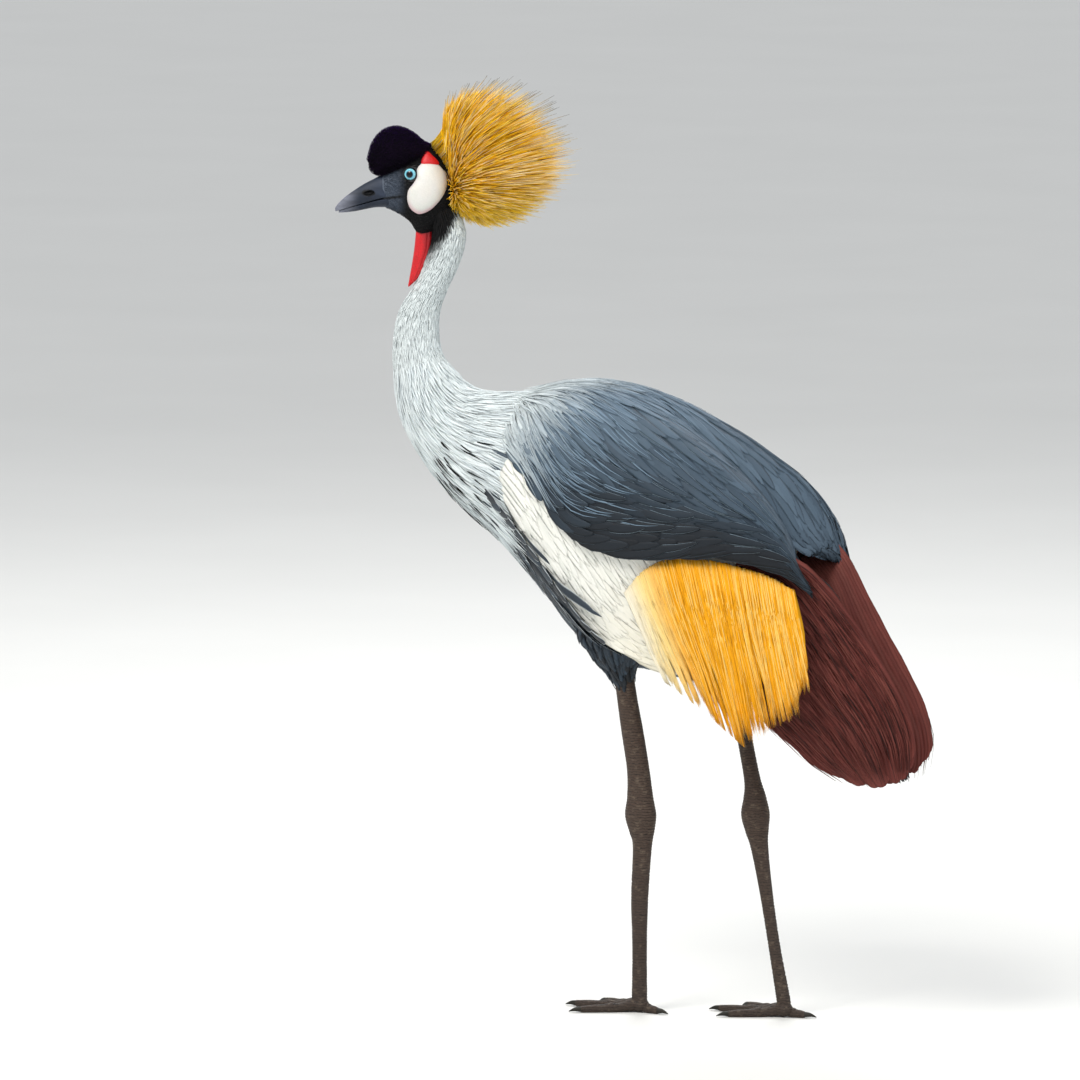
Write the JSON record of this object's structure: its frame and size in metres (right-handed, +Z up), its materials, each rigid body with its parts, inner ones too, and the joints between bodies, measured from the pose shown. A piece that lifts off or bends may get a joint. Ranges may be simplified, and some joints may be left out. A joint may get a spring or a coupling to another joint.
{
  "type": "grey crowned crane figure",
  "caption": "Life-size still model of a grey crowned crane standing at rest, head turned, with a bristle crest, layered wing plumes and spread toes.",
  "frame": {"origin": "on the floor under the middle of the bird's bounding box", "axes": "+Z up from the floor, -X the way the body faces, -Y the bird's left side"},
  "size_m": [0.6812, 0.236, 0.9894],
  "materials": {
    "black_face": "short velvety black feathers on the face and throat",
    "black_cap": "dense black velvet with a faint violet sheen",
    "bill_horn": "smooth dark grey horn, paler along the ridge and tip",
    "red_skin": "bare red wattle skin with a soft sheen",
    "eye_blue": "wet glossy eye, pale blue iris and black pupil",
    "white_cheek": "bare off-white cheek skin, red at the top",
    "crest_gold": "stiff straw-gold bristles with fine dark streaks",
    "pale_neck": "pale grey lance-shaped feathers",
    "breast_grey": "grey body feathers with pale shafts",
    "black_feathers": "black flight and tail feathers",
    "chestnut_feathers": "long drooping chestnut feathers with paler edges",
    "white_coverts": "smooth white wing coverts",
    "gold_plumes": "long loose golden plumes, white at the front",
    "slate_feathers": "blue-slate lance-shaped back feathers with slim pale edges",
    "thigh_feathers": "dark slate thigh feathers",
    "leg_skin": "dark grey-brown scaly leg skin",
    "claw_horn": "dark horn"
  },
  "bodies": {
    "root": {"head": "black_face", "forehead_cap": "black_cap", "bill_upper": "bill_horn", "bill_lower": "bill_horn", "throat_lobe": "red_skin", "eye_left": "eye_blue", "eye_right": "eye_blue", "cheek_left": "white_cheek", "cheek_right": "white_cheek", "crest": "crest_gold", "neck_upper": "pale_neck", "neck_lower": "pale_neck", "torso": "breast_grey", "tail": "black_feathers", "primaries_left": "black_feathers", "primaries_right": "black_feathers", "secondaries_left": "chestnut_feathers", "secondaries_right": "chestnut_feathers", "wing_left": "white_coverts", "wing_right": "white_coverts", "plumes_left": "gold_plumes", "plumes_right": "gold_plumes", "cape_left": "slate_feathers", "cape_right": "slate_feathers", "thigh_left": "thigh_feathers", "thigh_right": "thigh_feathers", "shank_left": "leg_skin", "shank_right": "leg_skin", "tarsus_left": "leg_skin", "tarsus_right": "leg_skin", "foot_left": "leg_skin", "foot_right": "leg_skin", "claw_left_middle": "claw_horn", "claw_left_inner": "claw_horn", "claw_left_outer": "claw_horn", "claw_left_hind": "claw_horn", "claw_right_middle": "claw_horn", "claw_right_inner": "claw_horn", "claw_right_outer": "claw_horn", "claw_right_hind": "claw_horn"}
  },
  "joints": []
}
